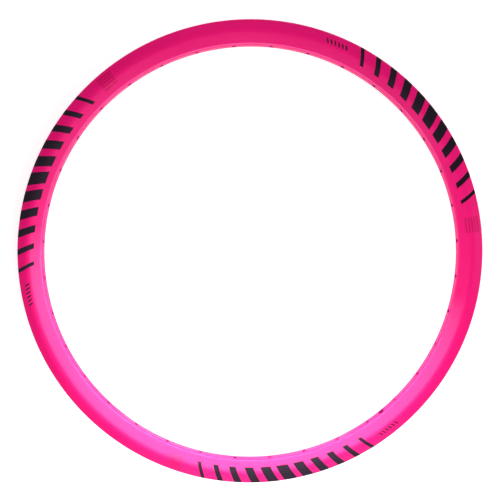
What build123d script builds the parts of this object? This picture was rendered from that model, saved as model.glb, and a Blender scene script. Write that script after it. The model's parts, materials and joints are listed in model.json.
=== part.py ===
from build123d import *
import os
from math import asin, atan2, cos, degrees, hypot, pi, sin, tan

# A deep double-wall bicycle rim: one hollow section, rolled into a hoop and butted at its joint.
# The wheel's axle line is Z and the rim's middle plane is z = 0. The valve hole is on +X, and the joint is
# opposite. Each section is drawn with its radius from the axle as x and its height along the axle as y.

# Tyre side of the section, in millimetres
BEAD_SEAT_DIAMETER = 559.0
FLANGE_HEIGHT = 6.0
INSIDE_WIDTH = 19.0
HOOK_REACH = 1.1
HOOK_HEIGHT = 2.0
FLANGE_WALL = 1.6
SEAT_WIDTH = 3.0
WELL_DEPTH = 3.0
WELL_SLOPE = 2.5
BED_WALL = 1.4

# Spoke side of the section
SECTION_DEPTH = 27.0
TRACK_HEIGHT = 12.2
BEND_RADIUS = 18.0
CREST_WIDTH = 5.2
CREST_ROUND = 3.5
FLANK_WALL = 1.3
CREST_WALL = 2.4

# Broken edges of the flange tips, outside and at the lip
SIDE_BREAK = 1.3
LIP_BREAK = 0.6

# Holes
SPOKE_COUNT = 36
SPOKE_HOLE_DIAMETER = 4.5
ACCESS_HOLE_DIAMETER = 8.8
VALVE_HOLE_DIAMETER = 8.5

# Joint and the sleeve inside it
JOINT_GAP = 0.1
SLEEVE_WALL = 1.6
SLEEVE_CLEARANCE = 0.1
SLEEVE_END_CLEARANCE = 2.0

# Radii from the axle
SEAT_R = BEAD_SEAT_DIAMETER / 2
OUTER_R = SEAT_R + FLANGE_HEIGHT
WELL_R = SEAT_R - WELL_DEPTH
BEND_R = OUTER_R - TRACK_HEIGHT
CREST_R = OUTER_R - SECTION_DEPTH
SPOKE_BED_R = CREST_R + CREST_WALL

# Heights from the middle plane
LIP_Z = INSIDE_WIDTH / 2
POCKET_Z = LIP_Z + HOOK_REACH
SIDE_Z = POCKET_Z + FLANGE_WALL
SHELF_Z = POCKET_Z - SEAT_WIDTH
WELL_Z = SHELF_Z - WELL_SLOPE
CREST_Z = CREST_WIDTH / 2

# The flank runs straight from the bend and touches the round beside the crest
ROUND_R = CREST_R + CREST_ROUND
BEND_TO_ROUND = hypot(BEND_R - ROUND_R, SIDE_Z - CREST_Z)
FLANK_ANGLE = atan2(SIDE_Z - CREST_Z, BEND_R - ROUND_R) - asin(CREST_ROUND / BEND_TO_ROUND)

HOLE_PITCH = 360 / SPOKE_COUNT
JOINT_ANGLE = HOLE_PITCH * (SPOKE_COUNT // 2)


def mirrored_face(upper):
    """A face from (radius, height, round) corners above the middle plane and their mirror below it."""
    lower = [(r, -z, rounding) for r, z, rounding in reversed(upper)]
    corners = [*upper, *lower]
    outline = FilletPolyline(
        [(r, z) for r, z, _ in corners],
        radius=[rounding for _, _, rounding in corners],
        close=True,
    )
    return make_face(outline)


def outer_face():
    """The section filled in: crest, flanks, flat tracks, hooked flanges and the tyre well."""
    crest_corner_z = CREST_Z + CREST_ROUND * tan((pi / 2 - FLANK_ANGLE) / 2)
    # each broken edge is limited by the width of the flange's tip
    tip_width = SIDE_Z - LIP_Z
    side_break = min(SIDE_BREAK, tip_width / 2)
    lip_break = min(LIP_BREAK, tip_width / 3)
    return mirrored_face(
        [
            (CREST_R, crest_corner_z, CREST_ROUND),
            (BEND_R, SIDE_Z, BEND_RADIUS),
            (OUTER_R - side_break, SIDE_Z, 0),
            (OUTER_R, SIDE_Z - side_break, 0),
            (OUTER_R, LIP_Z + lip_break, 0),
            (OUTER_R - lip_break, LIP_Z, 0),
            (OUTER_R - HOOK_HEIGHT, LIP_Z, 0),
            (OUTER_R - HOOK_HEIGHT - HOOK_REACH, POCKET_Z, 0),
            (SEAT_R, POCKET_Z, 0),
            (SEAT_R, SHELF_Z, 0),
            (WELL_R, WELL_Z, 0),
        ]
    )


def cavity_face():
    """The hollow between the tyre bed and the spoke bed."""
    # the inner face of the flank, from a point beside the bend down to the spoke bed
    start_r = BEND_R + FLANK_WALL * sin(FLANK_ANGLE)
    start_z = SIDE_Z - FLANK_WALL * cos(FLANK_ANGLE)
    floor_z = start_z - (start_r - SPOKE_BED_R) * tan(FLANK_ANGLE)
    # where that face meets the inner face of the side wall
    wall_z = SIDE_Z - FLANGE_WALL
    bend_r = start_r - (start_z - wall_z) / tan(FLANK_ANGLE)
    # the underside of the tyre bed, parallel to its top
    top_r = SEAT_R - BED_WALL
    shift = BED_WALL * tan(atan2(WELL_DEPTH, WELL_SLOPE) / 2)
    return mirrored_face(
        [
            (SPOKE_BED_R, floor_z, 0),
            (bend_r, wall_z, 0),
            (top_r, wall_z, 0),
            (top_r, SHELF_Z + shift, 0),
            (WELL_R - BED_WALL, WELL_Z + shift, 0),
        ]
    )


def rolled(face, middle_angle, arc):
    """A section rolled round the axle over an arc, with the arc's middle at the given angle."""
    start = Rot(Z=middle_angle - arc / 2) * (Plane.XZ * face)
    return revolve(start, Axis.Z, arc)


def radial_drill(angle, diameter, inner_r, outer_r):
    """A drilled hole's core, pointing from the axle at the given angle, between two radii."""
    core = Cylinder(diameter / 2, outer_r - inner_r, align=(Align.CENTER, Align.CENTER, Align.MIN))
    return Rot(Z=angle) * Pos(X=inner_r) * Rot(Y=90) * core


def rim_hoop():
    """The rolled section with its spoke holes, the access holes above them and the valve hole."""
    gap_arc = degrees(JOINT_GAP / OUTER_R)
    hoop = rolled(outer_face() - cavity_face(), JOINT_ANGLE + 180, 360 - gap_arc)
    inside = CREST_R - CREST_WALL
    hollow = (SPOKE_BED_R + WELL_R - BED_WALL) / 2
    drills = [radial_drill(0, VALVE_HOLE_DIAMETER, inside, OUTER_R)]
    for number in range(SPOKE_COUNT):
        angle = (number + 0.5) * HOLE_PITCH
        drills.append(radial_drill(angle, SPOKE_HOLE_DIAMETER, inside, hollow))
        drills.append(radial_drill(angle, ACCESS_HOLE_DIAMETER, hollow, OUTER_R))
    return hoop - drills


def joint_sleeve():
    """A hollow insert that fits the cavity across the joint, clear of the access holes on both sides."""
    outside = offset(cavity_face(), -SLEEVE_CLEARANCE, kind=Kind.INTERSECTION)
    inside = offset(outside, -SLEEVE_WALL, kind=Kind.INTERSECTION)
    hole_reach = ACCESS_HOLE_DIAMETER / 2 + SLEEVE_END_CLEARANCE
    half_arc = HOLE_PITCH / 2 - degrees(asin(hole_reach / (WELL_R - BED_WALL)))
    return rolled(outside - inside, JOINT_ANGLE, 2 * half_arc)


os.makedirs("parts", exist_ok=True)
export_step(rim_hoop(), "parts/rim_hoop.step")
export_step(joint_sleeve(), "parts/joint_sleeve.step")
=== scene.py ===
import json
from math import acos, asin, atan2, ceil, cos, degrees, hypot, pi, radians, sin, tan

import bpy
from mathutils import Matrix, Vector


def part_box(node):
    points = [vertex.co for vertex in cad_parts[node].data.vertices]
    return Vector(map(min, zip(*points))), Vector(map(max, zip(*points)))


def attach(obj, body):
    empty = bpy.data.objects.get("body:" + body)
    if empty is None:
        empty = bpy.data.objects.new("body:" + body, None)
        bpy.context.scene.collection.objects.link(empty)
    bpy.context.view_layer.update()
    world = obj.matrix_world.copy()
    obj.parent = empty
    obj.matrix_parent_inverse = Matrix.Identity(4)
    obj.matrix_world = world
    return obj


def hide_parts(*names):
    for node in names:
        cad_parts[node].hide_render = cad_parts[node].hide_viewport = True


# A deep bicycle rim, painted pink, lying on a white floor and seen from above.
# The axle line is Z, the valve hole is on +X and the joint is opposite. Lengths are metres.
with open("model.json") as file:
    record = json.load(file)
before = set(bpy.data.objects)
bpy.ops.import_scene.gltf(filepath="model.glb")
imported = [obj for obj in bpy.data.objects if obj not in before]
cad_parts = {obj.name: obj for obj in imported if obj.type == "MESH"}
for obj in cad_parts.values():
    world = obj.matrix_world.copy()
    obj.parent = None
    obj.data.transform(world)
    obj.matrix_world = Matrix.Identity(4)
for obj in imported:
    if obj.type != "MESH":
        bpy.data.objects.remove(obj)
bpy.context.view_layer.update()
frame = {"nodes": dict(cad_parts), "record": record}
MM = 0.001
MOUNTS = {mount["name"]: mount for mount in frame["record"]["mounts"]}
SPOKE_MOUNTS = [mount for name, mount in MOUNTS.items() if name.startswith("spoke_hole")]

# The hoop's reach and half width, from the frame
BOX_LOW, BOX_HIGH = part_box("rim_hoop")
OUTER_R = min(BOX_HIGH.x, BOX_HIGH.y, -BOX_LOW.x, -BOX_LOW.y)
SIDE_Z = BOX_HIGH.z

# Tyre side of the section
SEAT_R = 279.5 * MM
LIP_Z = 9.5 * MM
HOOK_REACH = 1.1 * MM
HOOK_HEIGHT = 2.0 * MM
SEAT_WIDTH = 3.0 * MM
WELL_DEPTH = 3.0 * MM
WELL_SLOPE = 2.5 * MM
BED_WALL = 1.4 * MM
SIDE_WALL = 1.6 * MM

# Spoke side of the section
CREST_R = SEAT_R - 21.0 * MM
BEND_R = SEAT_R - 6.2 * MM
BEND_ROUND = 18.0 * MM
CREST_Z = 2.6 * MM
CREST_ROUND = 3.5 * MM
FLANK_WALL = 1.3 * MM
CREST_WALL = 2.4 * MM

# Small rounds that the paint and the drawing die leave
SIDE_ROUND = 2.0 * MM
LIP_ROUND = 0.65 * MM
HOOK_ROUND = 0.4 * MM
SHELF_ROUND = 0.9 * MM
HOLE_BREAK = 0.25 * MM

# Holes and joint, with the share of the crest's radius that the drills start from
SPOKE_COUNT = len(SPOKE_MOUNTS)
SPOKE_HOLE_R = SPOKE_MOUNTS[0]["dims"]["r_mm"] * MM
VALVE_HOLE_R = MOUNTS["valve_hole"]["dims"]["r_mm"] * MM
ACCESS_HOLE_R = 4.4 * MM
DRILL_START = 0.98
JOINT_GAP = 0.03 * MM

# Worked out from the sizes above
POCKET_Z = LIP_Z + HOOK_REACH
SHELF_Z = POCKET_Z - SEAT_WIDTH
WELL_R = SEAT_R - WELL_DEPTH
WELL_Z = SHELF_Z - WELL_SLOPE
SPOKE_BED_R = CREST_R + CREST_WALL
ROUND_R = CREST_R + CREST_ROUND
FLANK_ANGLE = atan2(SIDE_Z - CREST_Z, BEND_R - ROUND_R) - asin(
    CREST_ROUND / hypot(BEND_R - ROUND_R, SIDE_Z - CREST_Z)
)

# Fineness of the mesh, and how far from a round the point lies that keeps the next flat flat
HOOP_SEGMENTS = 360
ARC_TOLERANCE = 0.01 * MM
FLAT_HOLD = 0.2 * MM
HOLE_SIDES = 48
CREASE_ANGLE = radians(35)

# Numbers on the hoop's faces that say which finish they get
COATED, BARE, DRILLED = range(3)

# Printed marks on both sides: angles in degrees along one of three equal sets, radii in metres
PRINT_SETS = 3
PRINT_FIRST_ANGLE = -63.0
BARS_FROM, BARS_TO = 6.0, 56.0
BAR_COUNT = 11
BAR_SHARE_WIDE, BAR_SHARE_NARROW = 0.72, 0.22
BAR_SLANT = radians(28)
BAR_INNER_R, BAR_OUTER_R = OUTER_R - 19.0 * MM, OUTER_R - 0.6 * MM
TICKS_FROM, TICKS_TO = 58.0, 64.0
TICK_COUNT = 6
TICK_SHARE = 0.4
TICK_INNER_R, TICK_OUTER_R = OUTER_R - 12.0 * MM, OUTER_R - 7.0 * MM
PATCH_FROM, PATCH_TO = 0.0, 4.0
PATCH_INNER_R, PATCH_OUTER_R = OUTER_R - 19.0 * MM, OUTER_R - 3.0 * MM
PATCH_LINES = 5
PATCH_LINE_SHARE = 0.6
PRINT_LOW_Z = 7.8 * MM
PRINT_TRACK_Z = 11.4 * MM
PRINT_TRACK_R = SEAT_R - 0.5 * MM

# Colours, linear
PINK = (0.97, 0.0085, 0.195, 1)
PINK_GLOSS = (0.73, 0.40, 0.72, 1)
PATCH_PINK = (0.70, 0.006, 0.120, 1)
# the holes' paint: a darker purple than the coat, as painted shade in the holes
SHADED_HOLE_PURPLE = (0.50, 0.006, 0.28, 1)
INK = (0.005, 0.005, 0.007, 1)
ALUMINIUM = (0.60, 0.61, 0.63, 1)
# inside the hollow: metal tinted by a dusting of pink paint and darkened as painted shade
DUSTED_AND_SHADED_METAL = (0.40, 0.05, 0.28, 1)
FLOOR_WHITE = (0.77, 0.77, 0.77, 1)
FLOOR_SPECKLE = (0.74, 0.74, 0.75, 1)
ROOM_WHITE = (1, 1, 1, 1)

# The paint and the print on it: gloss, soft unevenness and the fine peel of a sprayed coat
PAINT_ROUGHNESS = 0.32
INK_ROUGHNESS = 0.85
PAINT_COLOUR_SPREAD, PAINT_ROUGHNESS_SPREAD = 0.05, 0.15
PEEL_STRENGTH, PEEL_DEPTH = 0.03, 0.2 * MM

# The drawn metal, whose lines are drawn out along the hoop
HOLLOW_ROUGHNESS, SLEEVE_ROUGHNESS = 0.5, 0.4
LINE_STEP = 0.0004
LINE_SCALE, LINE_GRAIN_SCALE = 300.0, 2400.0
LINE_COLOUR_SPREAD, LINE_ROUGHNESS_SPREAD = 0.12, 0.25
LINE_STRENGTH, LINE_DEPTH = 0.2, 0.05 * MM

# The thin paint on the walls of the holes, darkened as painted shade, which is there where its mottle
# is over a limit
HOLE_MOTTLE_SCALE = 500.0
HOLE_MOTTLE_SPREAD = 1.0
HOLE_PAINT_LIMIT = 0.6
HOLE_ROUGHNESS = 0.5

# The floor: its size, its faint speckle, and the glow that brings it to white where nothing shades it
FLOOR_SIZE = 6.0
FLOOR_SPECKLE_SCALE = 3.0
FLOOR_SPECKLE_SHARE = 0.04
FLOOR_GLOW = 0.745

# The camera: its distance, its lean over the rim's face and the middle of the rim off its axis
PICTURE_PIXELS = 500
FOCAL_PIXELS = 463.8
SENSOR = 36.0
CAMERA_DISTANCE = 0.580
CAMERA_LEAN_X = radians(4.478)
CAMERA_LEAN_Y = radians(1.380)
CAMERA_OFF_X, CAMERA_OFF_Y = 3.10 * MM, -11.23 * MM
PICTURE_TURN = Matrix.Rotation(radians(50), 4, "Z")

# Lamps: name, place, target, width and height, and watts.
# Places and targets are right, up and towards the viewer in the picture.
# The panels only show in the gloss: three upright ones on the axle line, a card flat on the floor,
# and one outside the ring that leans over the lower track.
GLOSS_PANELS = [
    ("tent_low", (0.0, 0.0, 0.33), (-0.17, -0.98, 0.33), (0.30, 0.54), 9.3),
    ("tent_left", (0.0, 0.0, 0.24), (-0.94, -0.34, 0.24), (0.20, 0.42), 0.52),
    ("tent_top", (0.0, 0.0, 0.12), (-0.34, 0.94, 0.12), (0.30, 0.18), 1.24),
    ("floor_card", (-0.02, -0.18, -0.0115), (-0.02, -0.18, 1.0), (0.28, 0.14), 0.17),
    ("track_low", (0.05, -0.55, 0.35), (0.02, -0.28, 0.0), (0.72, 0.22), 0.9),
]
# The soft lamps only light the surfaces: from in front, from outside and from inside the ring.
SOFT_LAMPS = [
    ("front", (0.0, -0.18, 0.35), (0.0, -0.30, 0.0), (0.20, 0.20), 1.10),
    ("front_right", (0.10, -0.08, 0.35), (0.10, -0.08, 0.0), (0.16, 0.16), 0.24),
    ("right_out", (0.55, 0.0, 0.25), (0.28, 0.0, 0.0), (0.15, 0.60), 0.66),
    ("top_out", (0.0, 0.50, 0.25), (0.0, 0.28, 0.0), (0.60, 0.15), 0.30),
    ("inner_low", (0.0, 0.02, 0.04), (-0.07, -0.26, 0.0), (0.16, 0.05), 0.88),
    ("inner_right", (0.14, 0.05, 0.16), (-0.25, -0.10, 0.0), (0.20, 0.16), 0.30),
]

# The room: white walls up to one height over the horizon and a dark ceiling from a second one
WALL_TOP, CEILING_FROM = radians(30), radians(42)
WALL_STRENGTH, CEILING_STRENGTH = 1.0, 0.0


def wire(tree, node, inputs):
    """Links sockets to a node's inputs, or sets them, by name or number."""
    for name, value in inputs.items():
        if isinstance(value, bpy.types.NodeSocket):
            tree.links.new(value, node.inputs[name])
        else:
            node.inputs[name].default_value = value


def place(tree, kind, inputs=None, **settings):
    """A new node of the given kind, with its settings and its inputs."""
    made = tree.nodes.new(kind)
    for name, value in settings.items():
        setattr(made, name, value)
    wire(tree, made, inputs or {})
    return made


def calc(tree, operation, *values):
    """The output of a math node on sockets or numbers."""
    return place(tree, "ShaderNodeMath", dict(enumerate(values)), operation=operation).outputs[0]


def product(tree, first, *rest):
    """Several values multiplied together, which joins masks."""
    for value in rest:
        first = calc(tree, "MULTIPLY", first, value)
    return first


def between(tree, value, low, high):
    """A mask that is 1 where low < value < high."""
    return product(tree, calc(tree, "GREATER_THAN", value, low), calc(tree, "LESS_THAN", value, high))


def add_sockets(tree, direction, sockets):
    """Named sockets on a node group's interface, from {name: type or (type, default)}."""
    for name, kind in sockets.items():
        kind, default = kind if isinstance(kind, tuple) else (kind, None)
        socket = tree.interface.new_socket(name, in_out=direction, socket_type=f"NodeSocket{kind}")
        if default is not None:
            socket.default_value = default


def corner_arc(corner, back, ahead, rounding):
    """Points of the arc that rounds a corner, from the side that it is reached on to the side ahead."""
    if rounding == 0:
        return [corner]
    turn = pi - back.angle(ahead)
    reach = rounding * tan(turn / 2)
    start, end = corner + back * reach, corner + ahead * reach
    centre = corner + (back + ahead).normalized() * (rounding / cos(turn / 2))
    steps = max(2, ceil(turn / (2 * acos(1 - ARC_TOLERANCE / rounding))))
    points = []
    for step in range(steps + 1):
        share = step / steps
        spoke = (start - centre) * sin((1 - share) * turn) + (end - centre) * sin(share * turn)
        points.append(centre + spoke / sin(turn))
    return points


def rounded_outline(corners):
    """Points round a closed outline of (radius, height, round) corners.

    A point beside each round keeps the longer flats flat.
    """
    places = [Vector((r, z)) for r, z, _ in corners]
    arcs = []
    for number, corner in enumerate(places):
        back = (places[number - 1] - corner).normalized()
        ahead = (places[(number + 1) % len(places)] - corner).normalized()
        arcs.append(corner_arc(corner, back, ahead, corners[number][2]))
    points = []
    for arc, following in zip(arcs, [*arcs[1:], arcs[0]]):
        points += arc
        flat = following[0] - arc[-1]
        hold = flat.normalized() * FLAT_HOLD
        roomy = flat.length > 3 * FLAT_HOLD
        if roomy and len(arc) > 1:
            points.append(arc[-1] + hold)
        if roomy and len(following) > 1:
            points.append(following[0] - hold)
    return points[::-1]


def mirrored(upper):
    """Corners above the middle plane, followed by their mirror below it."""
    return [*upper, *((r, -z, rounding) for r, z, rounding in reversed(upper))]


def outer_outline():
    """The outside of the section: crest, flanks, flat tracks, hooked flanges and the tyre well."""
    corner_z = CREST_Z + CREST_ROUND * tan((pi / 2 - FLANK_ANGLE) / 2)
    return rounded_outline(
        mirrored(
            [
                (CREST_R, corner_z, CREST_ROUND),
                (BEND_R, SIDE_Z, BEND_ROUND),
                (OUTER_R, SIDE_Z, SIDE_ROUND),
                (OUTER_R, LIP_Z, LIP_ROUND),
                (OUTER_R - HOOK_HEIGHT, LIP_Z, HOOK_ROUND),
                (OUTER_R - HOOK_HEIGHT - HOOK_REACH, POCKET_Z, HOOK_ROUND),
                (SEAT_R, POCKET_Z, HOOK_ROUND),
                (SEAT_R, SHELF_Z, SHELF_ROUND),
                (WELL_R, WELL_Z, SHELF_ROUND),
            ]
        )
    )


def hollow_outline():
    """The hollow between the tyre bed and the spoke bed."""
    start_r = BEND_R + FLANK_WALL * sin(FLANK_ANGLE)
    start_z = SIDE_Z - FLANK_WALL * cos(FLANK_ANGLE)
    wall_z = SIDE_Z - SIDE_WALL
    top_r = SEAT_R - BED_WALL
    shift = BED_WALL * tan(atan2(WELL_DEPTH, WELL_SLOPE) / 2)
    return rounded_outline(
        mirrored(
            [
                (SPOKE_BED_R, start_z - (start_r - SPOKE_BED_R) * tan(FLANK_ANGLE), 0),
                (start_r - (start_z - wall_z) / tan(FLANK_ANGLE), wall_z, 0),
                (top_r, wall_z, 0),
                (top_r, SHELF_Z + shift, 0),
                (WELL_R - BED_WALL, WELL_Z + shift, 0),
            ]
        )
    )


def section_mesh():
    """Both outlines of the section as loops of edges, with the hollow's points marked."""
    points, edges, hollow = [], [], []
    for loop, inside in ((outer_outline(), False), (hollow_outline(), True)):
        first = len(points)
        points += [(p.x - SEAT_R, p.y, 0) for p in loop]
        edges += [(first + k, first + (k + 1) % len(loop)) for k in range(len(loop))]
        hollow += [inside] * len(loop)
    mesh = bpy.data.meshes.new("rim_section")
    mesh.from_pydata(points, edges, [])
    mesh.attributes.new("hollow", "BOOLEAN", "POINT").data.foreach_set("value", hollow)
    return mesh


def drilled(tree, radius, wide_radius, inner, outer):
    """A drill's core along +X between two radii from the axle, straight or tapered towards the axle."""
    core = place(
        tree,
        "GeometryNodeMeshCone",
        {
            "Vertices": HOLE_SIDES,
            "Radius Top": radius,
            "Radius Bottom": wide_radius,
            "Depth": calc(tree, "SUBTRACT", outer, inner),
        },
    )
    start = place(tree, "ShaderNodeCombineXYZ", {"X": inner})
    return place(
        tree,
        "GeometryNodeTransform",
        {"Geometry": core.outputs["Mesh"], "Translation": start.outputs[0], "Rotation": (0, pi / 2, 0)},
    ).outputs[0]


def round_the_hoop(tree, sizes, core):
    """One core for each spoke, half a pitch on from the valve hole."""
    points = place(tree, "GeometryNodeMeshLine", {"Count": sizes["Spoke Count"], "Offset": (0, 0, 0)})
    number = calc(tree, "ADD", place(tree, "GeometryNodeInputIndex").outputs[0], 0.5)
    pitch = calc(tree, "DIVIDE", 2 * pi, sizes["Spoke Count"])
    turn = place(tree, "ShaderNodeCombineXYZ", {"Z": calc(tree, "MULTIPLY", number, pitch)})
    copies = place(
        tree,
        "GeometryNodeInstanceOnPoints",
        {"Points": points.outputs[0], "Instance": core, "Rotation": turn.outputs[0]},
    )
    return place(tree, "GeometryNodeRealizeInstances", {"Geometry": copies.outputs[0]}).outputs[0]


def swept(tree, sizes, outline):
    """A closed ring with the given outline as its section."""
    circle = place(
        tree,
        "GeometryNodeCurvePrimitiveCircle",
        {"Resolution": sizes["Segments"], "Radius": sizes["Seat Radius"]},
        mode="RADIUS",
    )
    profile = place(tree, "GeometryNodeMeshToCurve", {"Mesh": outline})
    return place(
        tree,
        "GeometryNodeCurveToMesh",
        {"Curve": circle.outputs[0], "Profile Curve": profile.outputs[0]},
    ).outputs[0]


def finished(tree, geometry, finish):
    """Geometry with the number of its finish on its faces."""
    return place(
        tree,
        "GeometryNodeStoreNamedAttribute",
        {"Geometry": geometry, "Name": "finish", "Value": finish},
        domain="FACE",
        data_type="INT",
    ).outputs[0]


def hole_cores(tree, sizes):
    """The cores of the spoke, access and valve holes, and of the broken edges of the first two."""
    crest, well, outer = (sizes[f"{name} Radius"] for name in ("Crest", "Well", "Outer"))
    spoke_r, access_r, valve_r = (sizes[f"{name} Hole Radius"] for name in ("Spoke", "Access", "Valve"))
    edge = sizes["Hole Break"]
    wide_edge = calc(tree, "MULTIPLY", edge, 2)
    start = calc(tree, "MULTIPLY", crest, DRILL_START)
    middle = calc(tree, "MULTIPLY", calc(tree, "ADD", crest, well), 0.5)
    spoke_edge = drilled(
        tree,
        spoke_r,
        calc(tree, "ADD", spoke_r, wide_edge),
        calc(tree, "SUBTRACT", crest, edge),
        calc(tree, "ADD", crest, edge),
    )
    access_edge = drilled(
        tree,
        calc(tree, "ADD", access_r, wide_edge),
        access_r,
        calc(tree, "SUBTRACT", well, edge),
        calc(tree, "ADD", well, edge),
    )
    at_each_spoke = [
        (drilled(tree, spoke_r, spoke_r, start, middle), DRILLED),
        (drilled(tree, access_r, access_r, middle, outer), DRILLED),
        (spoke_edge, COATED),
        (access_edge, COATED),
    ]
    cores = []
    for core, finish in at_each_spoke:
        cores.append(finished(tree, round_the_hoop(tree, sizes, core), finish))
    cores.append(finished(tree, drilled(tree, valve_r, valve_r, start, outer), DRILLED))
    return cores


def joint_slot(tree, sizes):
    """The thin slot that parts the hoop opposite the valve hole."""
    outer = sizes["Outer Radius"]
    size = place(tree, "ShaderNodeCombineXYZ", {"X": outer, "Y": sizes["Joint Gap"], "Z": outer})
    slot = place(tree, "GeometryNodeMeshCube", {"Size": size.outputs[0]})
    spot = place(tree, "ShaderNodeCombineXYZ", {"X": calc(tree, "MULTIPLY", outer, -1)})
    moved = place(
        tree,
        "GeometryNodeTransform",
        {"Geometry": slot.outputs["Mesh"], "Translation": spot.outputs[0]},
    )
    return finished(tree, moved.outputs[0], DRILLED)


def smoothed(tree, mesh):
    """A mesh that shades smooth, apart from its creases."""
    smooth = place(tree, "GeometryNodeSetShadeSmooth", {"Geometry": mesh}, domain="FACE")
    bend = place(tree, "GeometryNodeInputMeshEdgeAngle").outputs["Unsigned Angle"]
    return place(
        tree,
        "GeometryNodeSetShadeSmooth",
        {
            "Geometry": smooth.outputs[0],
            "Selection": calc(tree, "GREATER_THAN", bend, CREASE_ANGLE),
            "Shade Smooth": False,
        },
        domain="EDGE",
    ).outputs[0]


def with_materials(tree, sizes, hoop):
    """The hoop with the material of each finish on its faces."""
    finish = place(tree, "GeometryNodeInputNamedAttribute", {"Name": "finish"}, data_type="INT")
    coat = place(tree, "GeometryNodeSetMaterial", {"Geometry": hoop, "Material": sizes["Coat"]})
    hoop = coat.outputs[0]
    for number, name in ((BARE, "Hollow Metal"), (DRILLED, "Drilled Metal")):
        chosen = place(
            tree,
            "FunctionNodeCompare",
            {"A": finish.outputs[0], "B": number},
            data_type="INT",
            operation="EQUAL",
        )
        hoop = place(
            tree,
            "GeometryNodeSetMaterial",
            {"Geometry": hoop, "Selection": chosen.outputs[0], "Material": sizes[name]},
        ).outputs[0]
    return hoop


def hoop_tree():
    """The node tree that sweeps, drills and parts the hoop, and gives it its finishes."""
    tree = bpy.data.node_groups.new("rolled_and_drilled_hoop", "GeometryNodeTree")
    add_sockets(
        tree,
        "INPUT",
        {
            "Section": "Geometry",
            "Segments": "Int",
            "Spoke Count": "Int",
            "Seat Radius": "Float",
            "Crest Radius": "Float",
            "Well Radius": "Float",
            "Outer Radius": "Float",
            "Spoke Hole Radius": "Float",
            "Access Hole Radius": "Float",
            "Valve Hole Radius": "Float",
            "Hole Break": "Float",
            "Joint Gap": "Float",
            "Coat": "Material",
            "Hollow Metal": "Material",
            "Drilled Metal": "Material",
        },
    )
    add_sockets(tree, "OUTPUT", {"Hoop": "Geometry"})
    sizes = place(tree, "NodeGroupInput").outputs
    marked = place(tree, "GeometryNodeInputNamedAttribute", {"Name": "hollow"}, data_type="BOOLEAN")
    outlines = place(
        tree,
        "GeometryNodeSeparateGeometry",
        {"Geometry": sizes["Section"], "Selection": marked.outputs[0]},
        domain="POINT",
    ).outputs
    outside = finished(tree, swept(tree, sizes, outlines["Inverted"]), COATED)
    hollow = finished(tree, swept(tree, sizes, outlines["Selection"]), BARE)
    cut = place(
        tree,
        "GeometryNodeMeshBoolean",
        {0: outside},
        operation="DIFFERENCE",
        solver="MANIFOLD",
    )
    for core in (hollow, *hole_cores(tree, sizes), joint_slot(tree, sizes)):
        tree.links.new(core, cut.inputs["Mesh 2"])
    hoop = smoothed(tree, cut.outputs["Mesh"])
    hoop = place(tree, "GeometryNodeRealizeInstances", {"Geometry": hoop}).outputs[0]
    place(tree, "NodeGroupOutput", {"Hoop": with_materials(tree, sizes, hoop)})
    return tree


def made_plain(name, mesh, tree, values):
    """An object with a plain mesh: the given mesh after a node tree with the given input values."""
    maker = bpy.data.objects.new(f"{name}_maker", mesh)
    bpy.context.scene.collection.objects.link(maker)
    modifier = maker.modifiers.new("build", "NODES")
    modifier.node_group = tree
    for socket in tree.interface.items_tree:
        if socket.in_out == "INPUT" and socket.name in values:
            modifier[socket.identifier] = values[socket.name]
    depsgraph = bpy.context.evaluated_depsgraph_get()
    plain = bpy.data.meshes.new_from_object(maker.evaluated_get(depsgraph))
    plain.name = name
    while plain.materials and plain.materials[0] is None:
        plain.materials.pop(index=0)
    maker.modifiers.remove(modifier)
    bpy.data.objects.remove(maker)
    piece = bpy.data.objects.new(name, plain)
    bpy.context.scene.collection.objects.link(piece)
    return piece


def noise(tree, spot, scale, detail=2):
    """A noise value around a half."""
    made = place(tree, "ShaderNodeTexNoise", {"Vector": spot, "Scale": scale, "Detail": detail})
    return made.outputs[0]


def swing(tree, value, amount):
    """A factor around 1 from a value around a half."""
    full = calc(tree, "MULTIPLY", calc(tree, "SUBTRACT", value, 0.5), 2)
    return calc(tree, "MULTIPLY_ADD", full, amount, 1)


def mottle_group():
    """Soft variation over a surface: factors near 1 for colour and roughness, and a fine height."""
    tree = bpy.data.node_groups.new("surface_mottle", "ShaderNodeTree")
    add_sockets(
        tree,
        "INPUT",
        {
            "Place": "Vector",
            "Patch Scale": ("Float", 12.0),
            "Grain Scale": ("Float", 420.0),
            "Colour Spread": ("Float", 0.04),
            "Roughness Spread": ("Float", 0.1),
        },
    )
    results = ("Colour Factor", "Roughness Factor", "Height")
    add_sockets(tree, "OUTPUT", dict.fromkeys(results, "Float"))
    given = place(tree, "NodeGroupInput").outputs
    patches = noise(tree, given["Place"], given["Patch Scale"], detail=3)
    place(
        tree,
        "NodeGroupOutput",
        {
            "Colour Factor": swing(tree, patches, given["Colour Spread"]),
            "Roughness Factor": swing(tree, patches, given["Roughness Spread"]),
            "Height": noise(tree, given["Place"], given["Grain Scale"]),
        },
    )
    return tree


def hoop_place_group():
    """Where a point lies on the hoop: degrees from the valve hole, radius and height off the middle."""
    tree = bpy.data.node_groups.new("place_on_hoop", "ShaderNodeTree")
    add_sockets(tree, "INPUT", {"Place": "Vector"})
    add_sockets(tree, "OUTPUT", {"Angle": "Float", "Radius": "Float", "Height": "Float"})
    given = place(tree, "NodeGroupInput").outputs
    parts = place(tree, "ShaderNodeSeparateXYZ", {"Vector": given["Place"]}).outputs
    square = calc(tree, "ADD", calc(tree, "POWER", parts["X"], 2), calc(tree, "POWER", parts["Y"], 2))
    turn = calc(tree, "ARCTAN2", parts["Y"], parts["X"])
    place(
        tree,
        "NodeGroupOutput",
        {
            "Angle": calc(tree, "DEGREES", turn),
            "Radius": calc(tree, "SQRT", square),
            "Height": calc(tree, "ABSOLUTE", parts["Z"]),
        },
    )
    return tree


def share_along(tree, value, start, end):
    """How far a value is on its way from start to end."""
    return calc(tree, "DIVIDE", calc(tree, "SUBTRACT", value, start), end - start)


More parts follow.
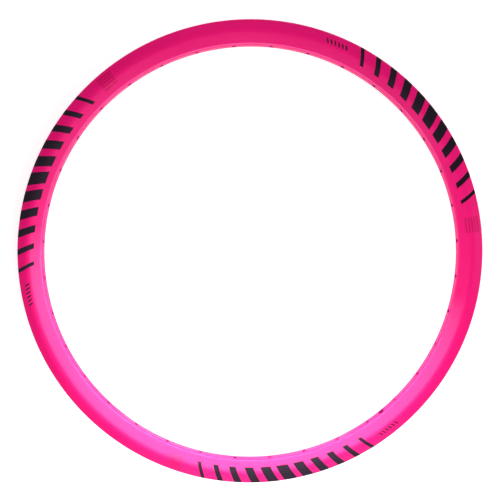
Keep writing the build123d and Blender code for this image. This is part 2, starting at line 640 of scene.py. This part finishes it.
def striped(tree, run, count, wide):
    """A mask of equal stripes on a run from 0 to 1, each over the first share of its pitch."""
    along_pitch = calc(tree, "FRACT", calc(tree, "MULTIPLY", run, count))
    return product(tree, calc(tree, "LESS_THAN", along_pitch, wide), between(tree, run, 0, 1))


def crowded_bars(tree, run):
    """A mask of bars on a run from 0 to 1, which are widest in the middle of the row."""
    counted = calc(tree, "MULTIPLY", run, BAR_COUNT)
    bar_place = calc(tree, "DIVIDE", calc(tree, "FLOOR", counted), (BAR_COUNT - 1) / 2)
    off_middle = calc(tree, "ABSOLUTE", calc(tree, "SUBTRACT", bar_place, 1))
    wide = calc(tree, "MULTIPLY_ADD", off_middle, BAR_SHARE_NARROW - BAR_SHARE_WIDE, BAR_SHARE_WIDE)
    off_bar = calc(tree, "ABSOLUTE", calc(tree, "SUBTRACT", calc(tree, "FRACT", counted), 0.5))
    on_bar = calc(tree, "LESS_THAN", calc(tree, "MULTIPLY", off_bar, 2), wide)
    return product(tree, on_bar, between(tree, run, 0, 1))


def print_group():
    """Masks of the printed marks: bars that crowd together, plain ticks and a faint lined patch."""
    tree = bpy.data.node_groups.new("side_print", "ShaderNodeTree")
    add_sockets(tree, "INPUT", {"Angle": "Float", "Radius": "Float", "Height": "Float"})
    add_sockets(tree, "OUTPUT", {"Ink": "Float", "Patch": "Float"})
    given = place(tree, "NodeGroupInput").outputs
    radius = given["Radius"]
    along = calc(tree, "SUBTRACT", given["Angle"], PRINT_FIRST_ANGLE)
    along = calc(tree, "FLOORED_MODULO", along, 360 / PRINT_SETS)
    outward = calc(tree, "SUBTRACT", radius, BAR_INNER_R)
    lean = calc(tree, "MULTIPLY", outward, degrees(tan(BAR_SLANT) / OUTER_R))
    slanted = calc(tree, "SUBTRACT", along, lean)

    bars = product(
        tree,
        crowded_bars(tree, share_along(tree, slanted, BARS_FROM, BARS_TO)),
        between(tree, radius, BAR_INNER_R, BAR_OUTER_R),
    )
    ticks = product(
        tree,
        striped(tree, share_along(tree, slanted, TICKS_FROM, TICKS_TO), TICK_COUNT, TICK_SHARE),
        between(tree, radius, TICK_INNER_R, TICK_OUTER_R),
    )
    patch_rise = share_along(tree, radius, PATCH_INNER_R, PATCH_OUTER_R)
    patch = product(
        tree,
        striped(tree, patch_rise, PATCH_LINES, PATCH_LINE_SHARE),
        between(tree, along, PATCH_FROM, PATCH_TO),
    )
    # the side faces only: above the tyre well, and above the flanges' inner faces further out
    on_track = calc(tree, "GREATER_THAN", radius, PRINT_TRACK_R)
    floor_z = calc(tree, "MULTIPLY_ADD", on_track, PRINT_TRACK_Z - PRINT_LOW_Z, PRINT_LOW_Z)
    on_side = calc(tree, "GREATER_THAN", given["Height"], floor_z)
    place(
        tree,
        "NodeGroupOutput",
        {
            "Ink": product(tree, calc(tree, "MAXIMUM", bars, ticks), on_side),
            "Patch": product(tree, patch, on_side),
        },
    )
    return tree


def new_material(name):
    """A material with its node tree, its Principled shader and the point's place in the object."""
    material = bpy.data.materials.new(name)
    material.use_nodes = True
    tree = material.node_tree
    shader = tree.nodes["Principled BSDF"]
    spot = place(tree, "ShaderNodeTexCoord").outputs["Object"]
    return material, tree, shader, spot


def grouped(tree, group, inputs):
    """The outputs of a node group placed in a material."""
    return place(tree, "ShaderNodeGroup", inputs, node_tree=group).outputs


def blended(tree, amount, first, second):
    """A colour between two, by a mask. A mix node's two colours are its inputs 6 and 7."""
    mix = place(tree, "ShaderNodeMix", {"Factor": amount, 6: first, 7: second}, data_type="RGBA")
    return mix.outputs[2]


def toned(tree, colour, factor):
    """A colour made lighter or darker by a factor."""
    scaled = place(tree, "ShaderNodeVectorMath", {0: colour, "Scale": factor}, operation="SCALE")
    return scaled.outputs[0]


def raised(tree, height, strength, depth):
    """The normal of a surface with a fine height on it."""
    bump = place(tree, "ShaderNodeBump", {"Strength": strength, "Distance": depth, "Height": height})
    return bump.outputs[0]


def pink_coat(mottle, hoop_place, side_print):
    """Gloss pink paint with the printed marks on both sides."""
    material, tree, shader, spot = new_material("pink_coat")
    where = grouped(tree, hoop_place, {"Place": spot})
    marks = grouped(tree, side_print, {name: where[name] for name in ("Angle", "Radius", "Height")})
    soft = grouped(
        tree,
        mottle,
        {
            "Place": spot,
            "Colour Spread": PAINT_COLOUR_SPREAD,
            "Roughness Spread": PAINT_ROUGHNESS_SPREAD,
        },
    )
    paint = blended(tree, marks["Patch"], PINK, PATCH_PINK)
    paint = toned(tree, paint, soft["Colour Factor"])
    ink_step = INK_ROUGHNESS - PAINT_ROUGHNESS
    roughness = calc(tree, "MULTIPLY_ADD", marks["Ink"], ink_step, PAINT_ROUGHNESS)
    wire(
        tree,
        shader,
        {
            "Base Color": blended(tree, marks["Ink"], paint, INK),
            "Roughness": calc(tree, "MULTIPLY", soft["Roughness Factor"], roughness),
            "Normal": raised(tree, soft["Height"], PEEL_STRENGTH, PEEL_DEPTH),
            "Specular Tint": PINK_GLOSS,
        },
    )
    return material


def bare_metal(name, mottle, hoop_place, colour, roughness):
    """Drawn aluminium with fine lines along the hoop."""
    material, tree, shader, spot = new_material(name)
    where = grouped(tree, hoop_place, {"Place": spot})
    along = calc(tree, "MULTIPLY", where["Angle"], LINE_STEP)
    lines = place(
        tree,
        "ShaderNodeCombineXYZ",
        {"X": where["Radius"], "Y": where["Height"], "Z": along},
    )
    soft = grouped(
        tree,
        mottle,
        {
            "Place": lines.outputs[0],
            "Patch Scale": LINE_SCALE,
            "Grain Scale": LINE_GRAIN_SCALE,
            "Colour Spread": LINE_COLOUR_SPREAD,
            "Roughness Spread": LINE_ROUGHNESS_SPREAD,
        },
    )
    wire(
        tree,
        shader,
        {
            "Base Color": toned(tree, colour[:3], soft["Colour Factor"]),
            "Roughness": calc(tree, "MULTIPLY", soft["Roughness Factor"], roughness),
            "Normal": raised(tree, soft["Height"], LINE_STRENGTH, LINE_DEPTH),
            "Metallic": 1.0,
        },
    )
    return material


def drilled_edge(mottle):
    """The drilled holes' walls: thin, patchy paint over the metal, its darker purple being painted
    shade.
    """
    material, tree, shader, spot = new_material("drilled_edge")
    soft = grouped(
        tree,
        mottle,
        {"Place": spot, "Patch Scale": HOLE_MOTTLE_SCALE, "Colour Spread": HOLE_MOTTLE_SPREAD},
    )
    cover = calc(tree, "GREATER_THAN", soft["Colour Factor"], HOLE_PAINT_LIMIT)
    wire(
        tree,
        shader,
        {
            # the paint's darker purple here is painted shade in the holes
            "Base Color": blended(tree, cover, ALUMINIUM, SHADED_HOLE_PURPLE),
            "Metallic": calc(tree, "SUBTRACT", 1.0, cover),
            "Roughness": HOLE_ROUGHNESS,
        },
    )
    return material


def floor_material():
    """A white floor that shows as white, and darker where the rim shades it."""
    material, tree, shader, spot = new_material("white_floor")
    tree.nodes.remove(shader)
    rays = place(tree, "ShaderNodeLightPath").outputs
    seen = calc(tree, "MAXIMUM", rays["Is Camera Ray"], rays["Is Glossy Ray"])
    seen = calc(tree, "MAXIMUM", seen, rays["Is Transmission Ray"])
    speckle = calc(tree, "MULTIPLY", noise(tree, spot, FLOOR_SPECKLE_SCALE), FLOOR_SPECKLE_SHARE)
    tint = blended(tree, speckle, FLOOR_WHITE, FLOOR_SPECKLE)
    matt = place(tree, "ShaderNodeBsdfDiffuse", {"Color": tint})
    glow = place(tree, "ShaderNodeEmission", {"Strength": calc(tree, "MULTIPLY", seen, FLOOR_GLOW)})
    both = place(tree, "ShaderNodeAddShader", {0: matt.outputs[0], 1: glow.outputs[0]})
    wire(tree, tree.nodes["Material Output"], {"Surface": both.outputs[0]})
    return material


def build_floor():
    """The floor that the rim lies on."""
    half = FLOOR_SIZE / 2
    corners = [(half * x, half * y, -SIDE_Z) for x, y in ((-1, -1), (1, -1), (1, 1), (-1, 1))]
    mesh = bpy.data.meshes.new("floor")
    mesh.from_pydata(corners, [], [(0, 1, 2, 3)])
    mesh.materials.append(floor_material())
    floor = bpy.data.objects.new("floor", mesh)
    bpy.context.scene.collection.objects.link(floor)


def build_camera():
    """The camera over the rim, turned so that the valve hole lies low on the right of the picture."""
    data = bpy.data.cameras.new("camera")
    data.sensor_width = SENSOR
    data.lens = SENSOR * FOCAL_PIXELS / PICTURE_PIXELS
    camera = bpy.data.objects.new("camera", data)
    bpy.context.scene.collection.objects.link(camera)
    lean = Matrix.Rotation(CAMERA_LEAN_X, 4, "X") @ Matrix.Rotation(CAMERA_LEAN_Y, 4, "Y")
    stand = Matrix.Translation((-CAMERA_OFF_X, -CAMERA_OFF_Y, CAMERA_DISTANCE))
    camera.matrix_world = PICTURE_TURN @ lean.inverted() @ stand
    bpy.context.scene.camera = camera


def build_room():
    """The light of the room, which changes only with the height over the horizon."""
    world = bpy.data.worlds.new("room")
    world.use_nodes = True
    tree = world.node_tree
    toward = place(tree, "ShaderNodeTexCoord").outputs["Generated"]
    height = place(tree, "ShaderNodeSeparateXYZ", {"Vector": toward}).outputs["Z"]
    strength = place(
        tree,
        "ShaderNodeMapRange",
        {
            "Value": height,
            "From Min": sin(WALL_TOP),
            "From Max": sin(CEILING_FROM),
            "To Min": WALL_STRENGTH,
            "To Max": CEILING_STRENGTH,
        },
    )
    wire(tree, tree.nodes["Background"], {"Color": ROOM_WHITE, "Strength": strength.outputs[0]})
    bpy.context.scene.world = world


def softbox(name, spot, target, size, watts, only_gloss):
    """A rectangular lamp that only shows in the gloss, or else only lights the surfaces.

    Its spot and target are given as right, up and towards the viewer in the picture.
    """
    data = bpy.data.lights.new(name, "AREA")
    data.shape = "RECTANGLE"
    data.size, data.size_y = size
    data.energy = watts
    lamp = bpy.data.objects.new(name, data)
    bpy.context.scene.collection.objects.link(lamp)
    aim = (Vector(target) - Vector(spot)).to_track_quat("-Z", "Y").to_matrix().to_4x4()
    lamp.matrix_world = PICTURE_TURN @ Matrix.Translation(spot) @ aim
    lamp.visible_diffuse = not only_gloss
    lamp.visible_glossy = only_gloss
    lamp.visible_camera = False


def build_light():
    """The panels that show in the gloss, then the soft lamps."""
    for panel in GLOSS_PANELS:
        softbox(*panel, only_gloss=True)
    for lamp in SOFT_LAMPS:
        softbox(*lamp, only_gloss=False)


def build_rim():
    """The finished hoop in place of the plain one, and the sleeve's finish."""
    mottle, hoop_place = mottle_group(), hoop_place_group()
    values = {
        "Segments": HOOP_SEGMENTS,
        "Spoke Count": SPOKE_COUNT,
        "Seat Radius": SEAT_R,
        "Crest Radius": CREST_R,
        "Well Radius": WELL_R,
        "Outer Radius": OUTER_R,
        "Spoke Hole Radius": SPOKE_HOLE_R,
        "Access Hole Radius": ACCESS_HOLE_R,
        "Valve Hole Radius": VALVE_HOLE_R,
        "Hole Break": HOLE_BREAK,
        "Joint Gap": JOINT_GAP,
        "Coat": pink_coat(mottle, hoop_place, print_group()),
        # the hollow's metal: a dusting of paint, and darker as painted shade
        "Hollow Metal": bare_metal("hollow_metal", mottle, hoop_place, DUSTED_AND_SHADED_METAL, HOLLOW_ROUGHNESS),
        "Drilled Metal": drilled_edge(mottle),
    }
    hoop = made_plain("painted_hoop", section_mesh(), hoop_tree(), values)
    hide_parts("rim_hoop")
    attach(hoop, "root")
    sleeve_metal = bare_metal("sleeve_metal", mottle, hoop_place, ALUMINIUM, SLEEVE_ROUGHNESS)
    sleeve = frame["nodes"]["joint_sleeve"]
    sleeve.data.materials.clear()
    sleeve.data.materials.append(sleeve_metal)


bpy.context.scene.view_settings.view_transform = "Standard"
build_rim()
build_floor()
build_camera()
build_room()
build_light()
